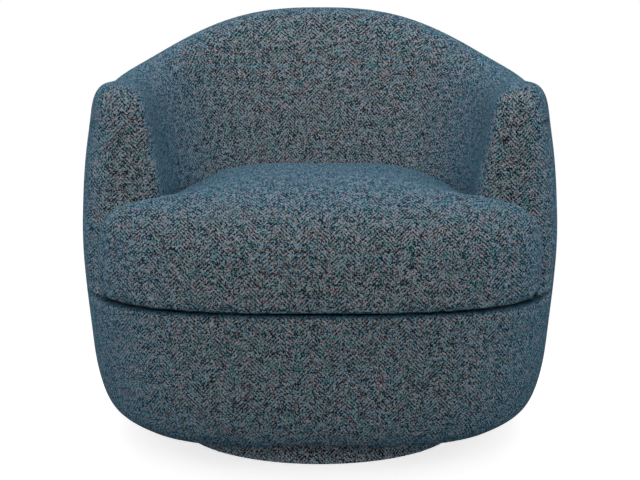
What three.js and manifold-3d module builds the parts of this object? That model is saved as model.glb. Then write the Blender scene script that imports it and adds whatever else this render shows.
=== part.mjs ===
// Swivel rocker: an upholstered barrel chair whose tub swivels on a low round plinth and rocks on springs.
// Millimetres, +Z up. The origin is on the swivel axis at floor level, and the sitter faces -Y.
// Left is -X and right is +X, as seen facing the chair.
import * as THREE from 'three';
import { mergeVertices } from 'three/addons/utils/BufferGeometryUtils.js';
import Module from 'manifold-3d';

const wasm = await Module();
wasm.setup();

// Body: its greatest half width, its reach to the front and the back, and its main heights
const bodyHalfWidth = 422;
const frontReach = 420;
const backReach = 418;
const hemHeight = 60;
const armHeight = 655;
const backHeight = 761;
const seamHeight = 296;
const frontRoundness = 3.2;
const armRoundness = 2.8;
const backRoundness = 2.3;

// Body profile, as shares: height from hem to arm, then half width, front reach and back reach
const profileShares = [
  [0.000, 0.765, 0.857, 0.810],
  [0.005, 0.800, 0.871, 0.830],
  [0.012, 0.838, 0.900, 0.850],
  [0.025, 0.872, 0.910, 0.865],
  [0.057, 0.898, 0.929, 0.875],
  [0.103, 0.926, 0.940, 0.886],
  [0.183, 0.952, 0.954, 0.910],
  [0.348, 0.975, 0.968, 0.948],
  [0.501, 0.997, 0.985, 0.970],
  [0.588, 1.000, 1.000, 0.988],
  [0.691, 0.994, 1.000, 1.000],
  [0.787, 0.981, 1.000, 1.000],
  [0.887, 0.958, 1.000, 1.000],
  [1.000, 0.940, 1.000, 1.000],
  [1.180, 0.940, 1.000, 0.995],
];

// Upholstery: padding over the frame, the rolled rim, the rounded arm fronts and the joints between panels
const padding = 24;
const rollShare = 0.68;
const armFrontReach = 250;
const noseRadius = 60;
const noseDrawShare = 0.62;
const armDip = 6;
const domeSideInset = 73;
const domeFlatness = 2.6;
const domeSoftness = 1.25;
const rimRoundness = 2.2;
const panelSplitDegrees = 20;
const seamEdgeRound = 6;
const panelSeam = 1;

// Thickness of the arms and the back at the seat and at the rim: what they leave free is the sitter's well
const armThickness = 147;
const backThickness = 183;
const armTopThickness = 88;
const backTopThickness = 83;
const wellRoundness = 2.6;
const mouthNarrowing = 25;

// Seat cushion: a T whose ears stand in front of the arms, crowned, with a deep roll over the free front
const cushionShoulderHeight = 385;
const cushionEarShoulderHeight = 412;
const cushionPeakHeight = 505;
const cushionPeakReach = 130;
const cushionFrontSpan = 190;
const cushionEarFrontSpan = 130;
const cushionWallDrop = 65;
const cushionWallSpan = 190;
const cushionEarDrop = 40;
const cushionEarSpan = 60;
const cushionBackDrop = 62;
const cushionBackCurve = 1.5;
const cushionSideInset = 18;
const cushionEarStartShare = 0.5;
const cushionEdgeRound = 14;
const cushionGap = 1;
const rollRoundness = 2.6;
const seatHeight = 440;
// Rings over the top, first set in by sizes, then by shares of what is left
const cushionInsets = [4, 12, 26, 48];
const cushionRingShares = [0.72, 0.45, 0.2];
// Sides as shares: height from bottom to shoulder, then how far they draw in of the edge round
const cushionSideShares = [[0, 1], [0.16, 0.35], [0.45, 0.05], [0.75, 0.1], [1, 0]];

// Seat: deck pad and sinuous springs between the front and back seat rails
const deckThickness = 3.4;
const deckInset = 12;
const seatSpringWire = 3.8;
const seatSpringBowHeight = 16;
const seatSpringHalfSpan = 22;
const seatSpringPitch = 70;
const seatSpringSpacing = 110;
const seatSpringCount = 4;

// Hardwood frame
const seatRailDepth = 48;
const seatRailThickness = 40;
const ringHeight = 112;
const ringThickness = 18;
const ringWidth = 60;
const postThickness = 28;
const postWidth = 45;
const postInset = 42;
const basePostSetback = 5;
const topRailDepth = 30;
const topRailWidth = 24;
const topRailDrop = 40;
const armPostSetback = 38;
const backPostDegrees = 48;
const mountRailWidth = 60;
const mountRailThickness = 30;
const mountRailOffset = 152;
const mountRailEndInset = 18;
const coverSheet = 1.2;
const coverBand = 95;

// Plinth
const plinthRadius = 255;
const plinthHeight = 36;
const glideThickness = 4;
const glideRadius = 14;
const glideCount = 4;
const plinthBoardThickness = 15;
const plinthRingWidth = 26;
const plinthSkin = 2.4;
const plinthTopSkin = 1.5;
const plinthFoldWidth = 20;
const plinthEdgeRound = 4;

// Swivel bearing
const plateHalfSize = 90;
const plateThickness = 3;
const plateCornerRadius = 16;
const plateScrewInset = 16;
const plateScrewRadius = 4;
const kingBoltRadius = 6;
const kingHeadRadius = 11;
const kingHeadHeight = 7;
const kingNutHeight = 8;
const ballRadius = 4;
const ballCount = 12;
const ballCircleRadius = 64;
const cageHalfWidth = 8;
const cageThickness = 4;

// Rocker mechanism
const rockBackDegrees = 8;
const rockForwardDegrees = 5;
const pivotHeight = 97;
const axleRadius = 8;
const axleEndOverhang = 6;
const bushWall = 2.4;
const bushFlange = 1.5;
const bushFlangeRadius = 13;
const clipThickness = 2.4;
const clipRadius = 13;
const steel = 3;
const crossReach = 62;
const crossWidth = 26;
const crossHeight = 14;
const railHalfLength = 135;
const railWidth = 56;
const railInnerEdge = 124;
const earHalfWidth = 46;
const earTopRadius = 20;
const armPlateGap = 4;
const springReach = 86;
const springRadius = 15;
const springWire = 5;
const springCurls = 5;
const springCentreOffset = 159;
const stopReach = 120;
const stopRadius = 11;
const stopTopRadius = 8;
const stopClearance = 1;

// Clearances between pieces that rest on each other, that turn in each other, and one overrun for cuts
const seat = 0.3;
const running = 0.3;
const overrun = 2;

// Facets
const roundSides = 24;
const rimSteps = 5;
const wallSteps = 4;
const noseSteps = 3;
const armStations = 3;
const splitStations = 2;
const backStations = 20;
const ringStations = 48;
const cushionFrontSteps = 8;
const cushionSideSteps = 5;
const cushionBackSteps = 9;
const wireSides = 5;
const seatWireSides = 4;
const curlSteps = 8;
const gapPoints = 300;
const waveSteps = 6;
const ballSides = 8;
const ballRings = 6;
const hexSides = 6;
const railSteps = 12;
const seatSearchSteps = 12;
const rimArcDegrees = 80;

// Places that follow from the sizes above
const wellHalfWidth = bodyHalfWidth - armThickness;
const wellBackReach = backReach - backThickness;
const wellTopHalfWidth = bodyHalfWidth - armTopThickness;
const wellTopBackReach = backReach - backTopThickness;
const domeHalfWidth = bodyHalfWidth - domeSideInset;
const armPostReach = armFrontReach - armPostSetback;
const cushionFrontHalfWidth = bodyHalfWidth - cushionSideInset;
const cushionEarStart = cushionEarStartShare * cushionFrontHalfWidth;
const cushionCentreReach = (armFrontReach + frontReach) / 2;
const wallBottom = seamHeight + seat;
const deckBottom = seamHeight + seat;
const deckTop = deckBottom + deckThickness;
const cushionBottom = deckTop + seat;
const ringTop = ringHeight + ringThickness;
const plateBottom = plinthHeight + seat;
const cageBottom = plateBottom + plateThickness + seat;
const upperPlateBottom = cageBottom + 2 * ballRadius + seat;
const upperPlateTop = upperPlateBottom + plateThickness;
const crossBottom = upperPlateTop + seat;
const railBottom = crossBottom + crossHeight + seat;
const railTop = railBottom + steel;
const mountRailBottom = ringTop + seat;
const armFlangeTop = mountRailBottom - seat;
const armFlangeBottom = armFlangeTop - steel;
const seatRailTop = seamHeight - seatSpringBowHeight;
const seatRailBottom = seatRailTop - seatRailDepth;

// Finishes
function finish(color, roughness, metalness = 0) {
  return new THREE.MeshStandardMaterial({ color, roughness, metalness });
}
const tweed = finish(0x5b6870, 0.95);
const darkTweed = finish(0x4a555c, 0.95);
const hardwood = finish(0xc8a26c, 0.7);
const plywood = finish(0xd4b483, 0.75);
const zincSteel = finish(0xa3a7ab, 0.35, 1);
const springSteel = finish(0x4b4d50, 0.45, 1);
const blackSteel = finish(0x2a2b2d, 0.5, 0.6);
const nylon = finish(0xe6e3da, 0.5);
const rubber = finish(0x1d1d1f, 0.9);
const felt = finish(0xd9d3c6, 1);
const cambric = finish(0x1f2023, 1);

// Closed mesh from rows of points. Rows that don't close on each other end in a ladder of quads,
// which joins a row's first half to its second, or in a fan about the point given for that end.
function loft(rows, { closed = false, fans = null } = {}) {
  const count = rows[0].length;
  const points = rows.flat();
  const faces = [];
  const at = (row, i) => (row % rows.length) * count + (i % count);
  const spans = closed ? rows.length : rows.length - 1;
  for (let row = 0; row < spans; row += 1) {
    for (let i = 0; i < count; i += 1) {
      faces.push([at(row, i), at(row + 1, i), at(row + 1, i + 1)]);
      faces.push([at(row, i), at(row + 1, i + 1), at(row, i + 1)]);
    }
  }
  if (fans) {
    fans.forEach((centre, end) => {
      const row = end * (rows.length - 1);
      const hub = points.push(centre) - 1;
      for (let i = 0; i < count; i += 1) {
        const rim = [at(row, i), at(row, i + 1)];
        faces.push(end ? [hub, ...rim.reverse()] : [hub, ...rim]);
      }
    });
  } else if (!closed) {
    for (const row of [0, rows.length - 1]) {
      for (let i = 0; i < count / 2 - 1; i += 1) {
        const quad = [i, i + 1, count - 2 - i, count - 1 - i].map((k) => at(row, k));
        if (row) quad.reverse();
        faces.push([quad[0], quad[1], quad[2]], [quad[0], quad[2], quad[3]]);
      }
    }
  }
  return outward(points, faces);
}

// Geometry of points and faces whose normals point out of the volume that the faces close
function outward(points, faces) {
  const volume = faces.reduce((sum, [a, b, c]) => {
    const normal = new THREE.Vector3().crossVectors(points[b], points[c]);
    return sum + points[a].dot(normal);
  }, 0);
  const turned = volume < 0 ? faces.map(([a, b, c]) => [a, c, b]) : faces;
  const geometry = new THREE.BufferGeometry().setFromPoints(points);
  geometry.setIndex(turned.flat());
  return geometry;
}

// Mirror image of a geometry across the plane x = 0
function mirrored(geometry) {
  const position = geometry.getAttribute('position');
  const points = [];
  for (let i = 0; i < position.count; i += 1) {
    points.push(new THREE.Vector3(-position.getX(i), position.getY(i), position.getZ(i)));
  }
  const corners = Array.from(geometry.getIndex().array);
  const faces = [];
  for (let i = 0; i < corners.length; i += 3) faces.push(corners.slice(i, i + 3));
  return outward(points, faces);
}

// Geometry whose faces share their points
function welded(geometry) {
  const bare = geometry.clone();
  bare.deleteAttribute('normal');
  bare.deleteAttribute('uv');
  return mergeVertices(bare);
}

// Solids for joining and cutting, and the way back to a geometry
function solid(geometry) {
  const merged = welded(geometry);
  return new wasm.Manifold(new wasm.Mesh({
    numProp: 3,
    vertProperties: new Float32Array(merged.getAttribute('position').array),
    triVerts: new Uint32Array(merged.getIndex().array),
  }));
}
function geometryOf(manifold) {
  const mesh = manifold.getMesh();
  const geometry = new THREE.BufferGeometry();
  geometry.setAttribute('position', new THREE.BufferAttribute(new Float32Array(mesh.vertProperties), 3));
  geometry.setIndex(Array.from(mesh.triVerts));
  return geometry;
}
const joined = (first, ...rest) => (
  geometryOf(rest.reduce((sum, next) => sum.add(solid(next)), solid(first)))
);
const cut = (first, tool) => geometryOf(solid(first).subtract(solid(tool)));

const radians = THREE.MathUtils.degToRad;
const point = (x, y, z) => new THREE.Vector3(x, y, z);

// Body surface

// Half width, reaches and front roundness of the body at a height, read between the rows of the profile
function profileAt(z) {
  const share = (z - hemHeight) / (armHeight - hemHeight);
  const last = profileShares.length - 1;
  const upper = THREE.MathUtils.clamp(profileShares.findIndex(([height]) => height > share), 1, last);
  const above = share >= profileShares[last][0] ? last : upper;
  const [low, high] = [profileShares[above - 1], profileShares[above]];
  const blend = THREE.MathUtils.clamp((share - low[0]) / (high[0] - low[0]), 0, 1);
  const [, side, front, back] = low.map((value, i) => value + (high[i] - value) * blend);
  const upward = THREE.MathUtils.clamp((z - seamHeight) / (seatHeight - seamHeight), 0, 1);
  return {
    halfWidth: bodyHalfWidth * side,
    front: frontReach * front,
    back: backReach * back,
    roundness: THREE.MathUtils.lerp(frontRoundness, armRoundness, upward),
  };
}

const power = (value, roundness) => Math.sign(value) * Math.abs(value) ** (2 / roundness);

// Point on the body's outline at a height. The angle runs anticlockwise from +X, the back is at 90 degrees.
function bodyPoint(angle, z, inset = 0) {
  const profile = profileAt(z);
  const behind = Math.sin(angle) >= 0;
  const roundness = behind ? backRoundness : profile.roundness;
  const reach = behind ? profile.back : profile.front;
  const x = (profile.halfWidth - inset) * power(Math.cos(angle), roundness);
  return point(x, (reach - inset) * power(Math.sin(angle), roundness), z);
}

// Half width of the front outline at a place y in front of the axis, and the reach at a place x
function halfWidthAt(y, z, inset = 0) {
  const { halfWidth, front, roundness } = profileAt(z);
  const share = Math.abs(y) / (front - inset);
  return (halfWidth - inset) * (1 - share ** roundness) ** (1 / roundness);
}
function reachAt(x, z, inset, behind) {
  const { halfWidth, front, back } = profileAt(z);
  const roundness = behind ? backRoundness : frontRoundness;
  const share = Math.abs(x) / (halfWidth - inset);
  return ((behind ? back : front) - inset) * (1 - share ** roundness) ** (1 / roundness);
}

// Inner face of the arms and back: it leans out from the cushion's edge to the rim
function lean(z) {
  return THREE.MathUtils.clamp((z - seatHeight) / (backHeight - seatHeight), 0, 1);
}
function wellHalfWidthAt(y, z) {
  const open = THREE.MathUtils.lerp(wellHalfWidth, wellTopHalfWidth, lean(z));
  const forward = Math.max(-y / armFrontReach, 0);
  return open - mouthNarrowing * forward ** 2;
}
function wellBackPoint(angle, z) {
  const reach = THREE.MathUtils.lerp(wellBackReach, wellTopBackReach, lean(z));
  const x = wellHalfWidthAt(0, z) * power(Math.cos(angle), wellRoundness);
  return point(x, reach * power(Math.sin(angle), wellRoundness), z);
}

// Upholstered walls

// Outer and inner point of the wall at a station, which is a place y on the arm or an angle round the back
function wallPair(station, z) {
  if (station.angle === undefined) {
    const widths = [halfWidthAt(station.y, z), wellHalfWidthAt(station.y, z)];
    return widths.map((x) => point(station.left ? -x : x, station.y, z));
  }
  return [bodyPoint(station.angle, z), wellBackPoint(station.angle, z)];
}

// Height of the rim: it dips a little along the arms, then rises in a dome over the back
function crestAt(station) {
  if (station.angle === undefined) {
    const forward = THREE.MathUtils.clamp(-station.y / (armFrontReach - noseRadius), 0, 1);
    return armHeight - armDip * Math.sin(Math.PI * forward) ** 2;
  }
  const [outer, inner] = wallPair(station, armHeight);
  const share = Math.min(Math.abs(outer.x + inner.x) / 2 / domeHalfWidth, 1);
  return armHeight + (backHeight - armHeight) * (1 - share ** domeFlatness) ** domeSoftness;
}

// Cross section of the wall: up the outer face, over the rolled rim and down the inner face
function wallSection(station, bottom, inset) {
  const { lowered = 0, drawn = 0 } = station;
  const trim = inset + lowered;
  const crest = crestAt(station);
  const [outerRim, innerRim] = wallPair(station, crest);
  const roll = (rollShare * outerRim.distanceTo(innerRim) - inset) * (1 - drawn);
  const rollBottom = crest - trim - roll;
  const levels = [];
  for (let i = 0; i <= wallSteps; i += 1) {
    levels.push([THREE.MathUtils.lerp(bottom, rollBottom, i / wallSteps), 1]);
  }
  for (let i = 1; i <= rimSteps; i += 1) {
    const rise = Math.sin(radians(rimArcDegrees * i / rimSteps));
    levels.push([rollBottom + roll * rise, (1 - rise ** rimRoundness) ** (1 / rimRoundness)]);
  }
  const sides = levels.map(([z, fullness]) => {
    const [outer, inner] = wallPair(station, z);
    const centre = outer.clone().lerp(inner, 0.5);
    const half = outer.clone().sub(centre);
    half.setLength((half.length() - inset) * (1 - drawn) * fullness);
    return [centre.clone().add(half), centre.clone().sub(half)];
  });
  return [...sides.map(([outer]) => outer), ...sides.map(([, inner]) => inner).reverse()];
}

// Stations of the right arm: its rounded front, its straight run and the start of the curve to the back
const panelSplit = radians(panelSplitDegrees);
const halfPanelSeam = panelSeam / 2 / wellHalfWidth;
function armStationsTo(endAngle, inset) {
  const radius = noseRadius - inset;
  const noseBack = armFrontReach - noseRadius;
  const stations = [];
  for (let i = noseSteps; i >= 0; i -= 1) {
    const turn = Math.PI / 2 * i / noseSteps;
    const round = 1 - Math.cos(turn);
    const y = -noseBack - radius * Math.sin(turn);
    stations.push({ y, lowered: radius * round, drawn: noseDrawShare * round });
  }
  for (let i = 1; i <= armStations; i += 1) {
    stations.push({ y: -noseBack * (1 - i / armStations) });
  }
  for (let i = 1; i <= splitStations; i += 1) {
    stations.push({ angle: endAngle * i / splitStations });
  }
  return stations;
}
function backStationsBetween(startAngle, endAngle) {
  return Array.from({ length: backStations + 1 }, (_, i) => (
    { angle: THREE.MathUtils.lerp(startAngle, endAngle, i / backStations) }
  ));
}
function wall(stations, bottom, inset) {
  return loft(stations.map((station) => wallSection(station, bottom, inset)));
}

function armUpholstery() {
  const past = panelSplit + overrun / bodyHalfWidth;
  const shell = wall(armStationsTo(panelSplit - halfPanelSeam, 0), wallBottom, 0);
  return cut(shell, wall(armStationsTo(past, padding), wallBottom - overrun, padding));
}
function backUpholstery() {
  const start = panelSplit + halfPanelSeam;
  const past = overrun / bodyHalfWidth;
  const shell = wall(backStationsBetween(start, Math.PI - start), wallBottom, 0);
  const reach = backStationsBetween(start - past, Math.PI - start + past);
  return cut(shell, wall(reach, wallBottom - overrun, padding));
}

// Lower body: a padded band from the tucked-under hem to the seat seam, rolled under the bottom ring
function baseUpholstery() {
  const rows = [];
  const outer = profileShares.map(([height]) => hemHeight + height * (armHeight - hemHeight));
  const heights = outer.filter((z) => z < seamHeight - 2 * seamEdgeRound);
  for (let i = 0; i < ringStations; i += 1) {
    const angle = 2 * Math.PI * i / ringStations;
    const lip = bodyPoint(angle, hemHeight);
    rows.push([
      ...heights.map((z) => bodyPoint(angle, z)),
      bodyPoint(angle, seamHeight - seamEdgeRound),
      bodyPoint(angle, seamHeight, seamEdgeRound),
      bodyPoint(angle, seamHeight, padding),
      ...heights.filter((z) => z > ringHeight).reverse().map((z) => bodyPoint(angle, z, padding)),
      bodyPoint(angle, ringHeight - seat, padding),
      point(lip.x, lip.y, ringHeight - seat),
    ]);
  }
  return loft(rows, { closed: true });
}

// Seat cushion

// Outline of the cushion at its widest, in two runs: the free bowed front with the outer ends of its ears,
// then the run that the arms and back hold, from the right ear round the well to the left ear
function cushionOutline() {
  const earBack = armFrontReach + cushionGap;
  const earAngle = Math.asin((earBack / frontReach) ** (frontRoundness / 2));
  const front = Array.from({ length: 2 * cushionFrontSteps + 1 }, (_, i) => {
    const angle = THREE.MathUtils.lerp(earAngle - Math.PI, -earAngle, i / (2 * cushionFrontSteps));
    const x = cushionFrontHalfWidth * power(Math.cos(angle), frontRoundness);
    return point(x, frontReach * power(Math.sin(angle), frontRoundness), 0);
  });
  const side = Array.from({ length: cushionSideSteps }, (_, i) => {
    const y = -earBack * (1 - i / cushionSideSteps);
    return point(wellHalfWidthAt(y, seatHeight) - cushionGap, y, 0);
  });
  const back = Array.from({ length: 2 * cushionBackSteps + 1 }, (_, i) => {
    const inner = wellBackPoint(Math.PI * i / (2 * cushionBackSteps), seatHeight).setZ(0);
    return inner.multiplyScalar(1 - cushionGap / inner.length());
  });
  const held = [...side, ...back, ...side.toReversed().map((p) => point(-p.x, p.y, 0))];
  return { front, held };
}
const edgesOf = (run) => run.slice(1).map((end, i) => new THREE.Line3(run[i], end));

// Distance in plan from a place to the nearest of a row of edges
function distanceTo(edges, place) {
  const closest = new THREE.Vector3();
  const nearest = edges.map((edge) => edge.closestPointToPoint(place, true, closest).distanceTo(place));
  return Math.min(...nearest);
}
// How far a rolled edge has risen at a distance from it
function rolled(distance, span) {
  return Math.sqrt(1 - (1 - Math.min(distance / span, 1)) ** rollRoundness);
}

function seatCushion() {
  const runs = cushionOutline();
  const outline = [...runs.front, ...runs.held];
  const front = edgesOf(runs.front);
  const well = edgesOf(runs.held);
  const rightEar = edgesOf([runs.front.at(-1), runs.held[0]]);
  const leftEar = edgesOf([runs.held.at(-1), runs.front[0]]);
  const ears = [...rightEar, ...leftEar];
  const topAt = (place) => {
    const backward = Math.max(place.y + cushionPeakReach, 0) / (wellBackReach + cushionPeakReach);
    const sideways = THREE.MathUtils.smoothstep(Math.abs(place.x), cushionEarStart, cushionFrontHalfWidth);
    const shoulder = THREE.MathUtils.lerp(cushionShoulderHeight, cushionEarShoulderHeight, sideways);
    const span = THREE.MathUtils.lerp(cushionFrontSpan, cushionEarFrontSpan, sideways);
    const wallDrop = cushionWallDrop * THREE.MathUtils.smoothstep(place.y, -frontReach, -armFrontReach / 2);
    return cushionPeakHeight - cushionBackDrop * backward ** cushionBackCurve
      - (cushionPeakHeight - shoulder) * (1 - rolled(distanceTo(front, place), span))
      - cushionEarDrop * (1 - rolled(distanceTo(ears, place), cushionEarSpan))
      - wallDrop * Math.max(1 - distanceTo(well, place) / cushionWallSpan, 0) ** 2;
  };
  const centre = point(0, -cushionCentreReach, 0);
  const setIn = (p, distance) => p.clone().lerp(centre, distance / p.distanceTo(centre));
  const rows = cushionSideShares.map(([height, drawn]) => outline.map((p) => {
    const place = setIn(p, drawn * cushionEdgeRound);
    return place.setZ(THREE.MathUtils.lerp(cushionBottom, topAt(p), height));
  }));
  for (const inset of cushionInsets) {
    rows.push(outline.map((p) => {
      const place = setIn(p, inset);
      return place.setZ(topAt(place));
    }));
  }
  for (const share of cushionRingShares) {
    rows.push(outline.map((p) => {
      const place = centre.clone().lerp(setIn(p, cushionInsets.at(-1)), share);
      return place.setZ(topAt(place));
    }));
  }
  return loft(rows, { fans: [centre.clone().setZ(cushionBottom), centre.clone().setZ(topAt(centre))] });
}

// Deck pad under the cushion, on the springs and the upper edge of the lower body
function seatDeck() {
  const { front, held } = cushionOutline();
  const centre = point(0, -cushionCentreReach, 0);
  const outline = [...front, ...held].map((p) => p.clone().lerp(centre, deckInset / p.distanceTo(centre)));
  const levels = [deckBottom, deckTop];
  const rows = levels.map((z) => outline.map((p) => p.clone().setZ(z)));
  return loft(rows, { fans: levels.map((z) => centre.clone().setZ(z)) });
}

// Wire of round section along a curve
function wire(curve, diameter, sides, steps) {
  const section = new THREE.Shape();
  for (let i = 0; i < sides; i += 1) {
    const turn = 2 * Math.PI * i / sides;
    const corner = new THREE.Vector2(Math.cos(turn), Math.sin(turn)).multiplyScalar(diameter / 2);
    if (i) section.lineTo(corner.x, corner.y);
    else section.moveTo(corner.x, corner.y);
  }
  section.closePath();
  return new THREE.ExtrudeGeometry(section, { steps, extrudePath: curve, bevelEnabled: false });
}

// Sinuous spring: a wire that snakes from the front rail to the back rail and bows up under the deck
class SinuousLine extends THREE.Curve {
  constructor(front, back, rise) {
    super();
    Object.assign(this, { front, back, rise });
    this.waves = Math.round((back - front) / seatSpringPitch);
  }

  getPoint(t) {
    const swing = Math.min(4 * this.waves * Math.min(t, 1 - t), 1);
    const snake = seatSpringHalfSpan * swing * Math.sin(2 * Math.PI * this.waves * t);
    return point(snake, THREE.MathUtils.lerp(this.front, this.back, t), this.rise * (1 - (2 * t - 1) ** 2));
  }
}
function seatSpring(x) {
  const middle = padding + seat + seatRailThickness / 2;
  const front = -reachAt(x, seatRailBottom, middle, false);
  const back = reachAt(x, seatRailBottom, middle, true);
  const rise = seatSpringBowHeight - seatSpringWire - seat;
  const line = new SinuousLine(front, back, rise);
  return wire(line, seatSpringWire, seatWireSides, waveSteps * line.waves);
}

// Hardwood frame

// Angle that covers half of a length along the body's outline
function halfTurn(angle, z, length) {
  const step = radians(1);
  const speed = bodyPoint(angle + step, z).distanceTo(bodyPoint(angle - step, z)) / (2 * step);
  return length / 2 / speed;
}

// Timber that follows the body's outline at a height, with its faces set in from the body by near and far
function band({ from, to, steps, near, far, at, bottom, top, closed = false }) {
  const rows = [];
  for (let i = 0; i <= (closed ? steps - 1 : steps); i += 1) {
    const angle = THREE.MathUtils.lerp(from, to, i / steps);
    const [outer, inner] = [near, far].map((inset) => bodyPoint(angle, at, inset));
    rows.push([
      outer.clone().setZ(bottom), outer.clone().setZ(top),
      inner.clone().setZ(top), inner.clone().setZ(bottom),
    ]);
  }
  return loft(rows, { closed });
}
const railNear = padding + seat;
function seatRail(middleDegrees) {
  const turns = [-1, 1].map((side) => {
    const joint = radians(middleDegrees + side * 45);
    return joint - side * halfTurn(joint, seatRailBottom, 2 * seat);
  });
  return band({
    from: turns[0],
    to: turns[1],
    steps: railSteps,
    near: railNear,
    far: railNear + seatRailThickness,
    at: seatRailBottom,
    bottom: seatRailBottom,
    top: seatRailTop,
  });
}
function bottomRing() {
  return band({
    from: 0,
    to: 2 * Math.PI,
    steps: ringStations,
    near: railNear,
    far: railNear + ringWidth,
    at: ringHeight,
    bottom: ringHeight,
    top: ringTop,
    closed: true,
  });
}
function dustCover() {
  const inset = 2 * seat;
  return band({
    from: 0,
    to: 2 * Math.PI,
    steps: ringStations,
    near: inset,
    far: inset + coverBand,
    at: hemHeight,
    bottom: ringHeight - seat - coverSheet,
    top: ringHeight - seat,
    closed: true,
  });
}
function post(from, to, near, at, bottom, top) {
  return band({ from, to, steps: 1, near, far: near + postThickness, at, bottom, top });
}
function basePost(degrees) {
  const angle = radians(degrees);
  const half = halfTurn(angle, ringHeight, postWidth);
  const near = railNear + basePostSetback;
  return post(angle - half, angle + half, near, ringHeight, ringTop + seat, seatRailBottom - seat);
}
// Bent top rail under the rim, from the right arm round the back to the left arm
function topRailRows() {
  const runs = armStations + 1;
  const arm = Array.from({ length: runs }, (_, i) => -armPostReach * (1 - i / runs));
  const bend = Array.from({ length: splitStations }, (_, i) => panelSplit * i / splitStations);
  const stations = [
    ...arm.map((y) => ({ y })),
    ...bend.map((angle) => ({ angle })),
    ...backStationsBetween(panelSplit, Math.PI - panelSplit),
    ...bend.toReversed().map((angle) => ({ angle: Math.PI - angle })),
    ...arm.toReversed().map((y) => ({ y, left: true })),
  ];
  return stations.map((station) => {
    const top = crestAt(station) - topRailDrop;
    const [outer, inner] = wallPair(station, top);
    const centre = outer.clone().lerp(inner, 0.5);
    const half = outer.sub(inner).setLength(topRailWidth / 2);
    const [near, far] = [centre.clone().add(half), centre.clone().sub(half)];
    return [
      near.clone().setZ(top - topRailDepth), near.clone().setZ(top),
      far.clone().setZ(top), far.clone().setZ(top - topRailDepth),
    ];
  });
}

// Lowest place of the top rail's underside over a post, looked for on points along and across the rail
function topRailOver(plan) {
  const rows = topRailRows();
  const heights = [];
  for (let i = 1; i < rows.length; i += 1) {
    for (let step = 0; step <= seatSearchSteps; step += 1) {
      const [near, far] = [0, 3].map((k) => rows[i - 1][k].clone().lerp(rows[i][k], step / seatSearchSteps));
      for (let across = 0; across <= seatSearchSteps; across += 1) {
        const place = near.clone().lerp(far, across / seatSearchSteps);
        if (plan.containsPoint(place)) heights.push(place.z);
      }
    }
  }
  return Math.min(...heights);
}
function wallPost(from, to) {
  const shape = { near: postInset, at: seatRailTop, bottom: seatRailTop + seat };
  const tall = post(from, to, shape.near, shape.at, shape.bottom, backHeight);
  tall.computeBoundingBox();
  return post(from, to, shape.near, shape.at, shape.bottom, topRailOver(tall.boundingBox) - seat);
}
function armPost() {
  const { front, roundness } = profileAt(seatRailTop);
  const places = [armPostReach, armPostReach - postWidth];
  return wallPost(...places.map((y) => -Math.asin((y / front) ** (roundness / 2))));
}
function backPost() {
  const angle = radians(backPostDegrees);
  const half = halfTurn(angle, seatRailTop, postWidth);
  return wallPost(angle - half, angle + half);
}
function mountRail() {
  const outerEdge = mountRailOffset + mountRailWidth / 2;
  const [front, back] = [false, true].map((behind) => (
    reachAt(outerEdge, ringHeight, railNear, behind) - mountRailEndInset
  ));
  const rail = new THREE.BoxGeometry(mountRailWidth, front + back, mountRailThickness);
  return rail.translate(mountRailOffset, (back - front) / 2, mountRailBottom + mountRailThickness / 2);
}

// Turned and pressed metal

// Ring about the Z axis from a profile of radius and height pairs
function revolved(profile, sides = roundSides) {
  const rows = Array.from({ length: sides }, (_, i) => {
    const turn = 2 * Math.PI * i / sides;
    return profile.map(([radius, z]) => point(radius * Math.cos(turn), radius * Math.sin(turn), z));
  });
  return loft(rows, { closed: true });
}
function ring(innerRadius, outerRadius, bottom, top, sides) {
  const section = [[innerRadius, bottom], [outerRadius, bottom], [outerRadius, top], [innerRadius, top]];
  return revolved(section, sides);
}
function rod(radius, bottom, top, sides = roundSides, topRadius = radius) {
  const cylinder = new THREE.CylinderGeometry(topRadius, radius, top - bottom, sides);
  return cylinder.rotateX(Math.PI / 2).translate(0, 0, (top + bottom) / 2);
}
const alongX = (geometry) => geometry.rotateY(Math.PI / 2);
function hole(x, y, radius) {
  return new THREE.Path(Array.from({ length: roundSides }, (_, i) => {
    const turn = -2 * Math.PI * i / roundSides;
    return new THREE.Vector2(x + radius * Math.cos(turn), y + radius * Math.sin(turn));
  }));
}
function pressed(shape, depth) {
  return new THREE.ExtrudeGeometry(shape, { depth, bevelEnabled: false, curveSegments: roundSides / 3 });
}
// A shape drawn in Y and Z, pressed along X from a given place
function pressedAcross(shape, x, depth) {
  const turn = new THREE.Matrix4().makeBasis(point(0, 1, 0), point(0, 0, 1), point(1, 0, 0));
  return pressed(shape, depth).applyMatrix4(turn).translate(x, 0, 0);
}

// Plinth

function plinthCover() {
  const inner = plinthRadius - plinthSkin;
  const round = plinthEdgeRound;
  const top = plinthHeight + seat + plinthTopSkin;
  return revolved([
    [inner, glideThickness + seat],
    [plinthRadius, glideThickness + seat],
    [plinthRadius, top - round],
    [plinthRadius - round * (1 - Math.SQRT1_2), top - round * (1 - Math.SQRT1_2)],
    [plinthRadius - round, top],
    [plinthRadius - plinthFoldWidth, top],
    [plinthRadius - plinthFoldWidth, plinthHeight + seat],
    [inner, plinthHeight + seat],
  ], ringStations);
}
const boardRadius = plinthRadius - plinthSkin - seat;
const boardBottom = plinthHeight - plinthBoardThickness;

// Swivel

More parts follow.
